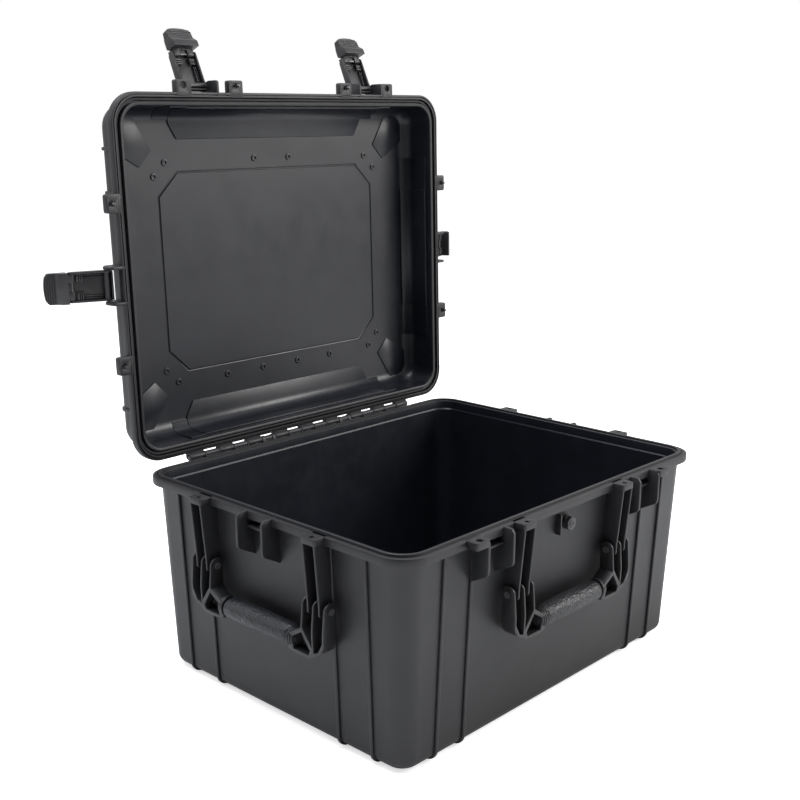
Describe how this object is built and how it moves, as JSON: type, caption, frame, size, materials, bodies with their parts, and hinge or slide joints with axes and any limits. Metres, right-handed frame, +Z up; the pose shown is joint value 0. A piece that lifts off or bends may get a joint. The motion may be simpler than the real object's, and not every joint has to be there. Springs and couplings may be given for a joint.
{
  "type": "hard equipment case",
  "caption": "Deep hard-shell equipment case with a hinged lid, pull latches, fold-down grip handles and a purge valve, lid standing open.",
  "frame": {"origin": "centre of the underside of the base, on the plane it stands on", "axes": "+Z up, +X along the long front face towards the right end, -Y towards the front face with the two latches, lid hinge along +Y"},
  "size_m": [0.8094, 0.6023, 0.8803],
  "materials": {
    "shell": "fine leather-grain moulded polypropylene, charcoal black",
    "handle": "satin glass-filled nylon, charcoal black",
    "grip": "textured overmoulded rubber, black",
    "latch": "satin moulded nylon, charcoal black",
    "rubber": "matt closed-cell rubber, black",
    "fitting": "satin moulded plastic, charcoal",
    "steel": "plain steel pin ends"
  },
  "bodies": {
    "base": {"base_shell": "shell", "hinge_pin": "steel", "purge_valve_body": "fitting", "purge_valve_o_ring": "rubber", "purge_valve_nut": "fitting", "purge_valve_membrane": "rubber", "front_handle_pin_a": "steel", "front_handle_pin_b": "steel", "left_handle_pin_a": "steel", "left_handle_pin_b": "steel", "right_handle_pin_a": "steel", "right_handle_pin_b": "steel"},
    "lid": {"lid_shell": "shell", "lid_gasket": "rubber", "front_guide_pin_a": "steel", "front_guide_pin_b": "steel", "left_guide_pin_a": "steel", "left_guide_pin_b": "steel", "right_guide_pin_a": "steel", "right_guide_pin_b": "steel", "front_left_latch_pivot_pin": "steel", "front_right_latch_pivot_pin": "steel", "left_latch_pivot_pin": "steel", "right_latch_pivot_pin": "steel"},
    "front_handle": {"front_handle_frame": "handle", "front_handle_grip": "grip"},
    "left_handle": {"left_handle_frame": "handle", "left_handle_grip": "grip"},
    "right_handle": {"right_handle_frame": "handle", "right_handle_grip": "grip"},
    "front_left_latch": {"front_left_latch_arm": "latch", "front_left_latch_lever_pin": "steel"},
    "front_left_lever": {"front_left_latch_lever": "latch"},
    "front_right_latch": {"front_right_latch_arm": "latch", "front_right_latch_lever_pin": "steel"},
    "front_right_lever": {"front_right_latch_lever": "latch"},
    "left_latch": {"left_latch_arm": "latch", "left_latch_lever_pin": "steel"},
    "left_lever": {"left_latch_lever": "latch"},
    "right_latch": {"right_latch_arm": "latch", "right_latch_lever_pin": "steel"},
    "right_lever": {"right_latch_lever": "latch"}
  },
  "joints": [
    {"name": "lid_hinge", "type": "hinge", "parent": "base", "child": "lid", "pos_m": [0, 0.2565, 0.288], "axis": [-1, 0, 0], "range_deg": [-91.8, 0]},
    {"name": "front_handle_hinge", "type": "hinge", "parent": "base", "child": "front_handle", "pos_m": [0, -0.249, 0.193], "axis": [-1, 0, 0], "range_deg": [0, 90]},
    {"name": "left_handle_hinge", "type": "hinge", "parent": "base", "child": "left_handle", "pos_m": [-0.316, 0, 0.193], "axis": [0, 1, 0], "range_deg": [0, 90]},
    {"name": "right_handle_hinge", "type": "hinge", "parent": "base", "child": "right_handle", "pos_m": [0.316, 0, 0.193], "axis": [0, -1, 0], "range_deg": [0, 90]},
    {"name": "front_left_latch_hinge", "type": "hinge", "parent": "lid", "child": "front_left_latch", "pos_m": [-0.1635, 0.29571, 0.80352], "axis": [-1, 0, 0], "range_deg": [-112, 0]},
    {"name": "front_left_lever_hinge", "type": "hinge", "parent": "front_left_latch", "child": "front_left_lever", "pos_m": [-0.1635, 0.31611, 0.8448], "axis": [-1, 0, 0], "range_deg": [-18, 0]},
    {"name": "front_right_latch_hinge", "type": "hinge", "parent": "lid", "child": "front_right_latch", "pos_m": [0.1635, 0.29571, 0.80352], "axis": [-1, 0, 0], "range_deg": [-112, 0]},
    {"name": "front_right_lever_hinge", "type": "hinge", "parent": "front_right_latch", "child": "front_right_lever", "pos_m": [0.1635, 0.31611, 0.8448], "axis": [-1, 0, 0], "range_deg": [-18, 0]},
    {"name": "left_latch_hinge", "type": "hinge", "parent": "lid", "child": "left_latch", "pos_m": [-0.327, 0.28755, 0.54365], "axis": [0, -0.0314, -0.9995], "range_deg": [-112, 0]},
    {"name": "left_lever_hinge", "type": "hinge", "parent": "left_latch", "child": "left_lever", "pos_m": [-0.3689, 0.30662, 0.54305], "axis": [0, -0.0314, -0.9995], "range_deg": [-18, 0]},
    {"name": "right_latch_hinge", "type": "hinge", "parent": "lid", "child": "right_latch", "pos_m": [0.327, 0.28755, 0.54365], "axis": [0, 0.0314, 0.9995], "range_deg": [-112, 0]},
    {"name": "right_lever_hinge", "type": "hinge", "parent": "right_latch", "child": "right_lever", "pos_m": [0.3689, 0.30662, 0.54305], "axis": [0, 0.0314, 0.9995], "range_deg": [-18, 0]}
  ]
}
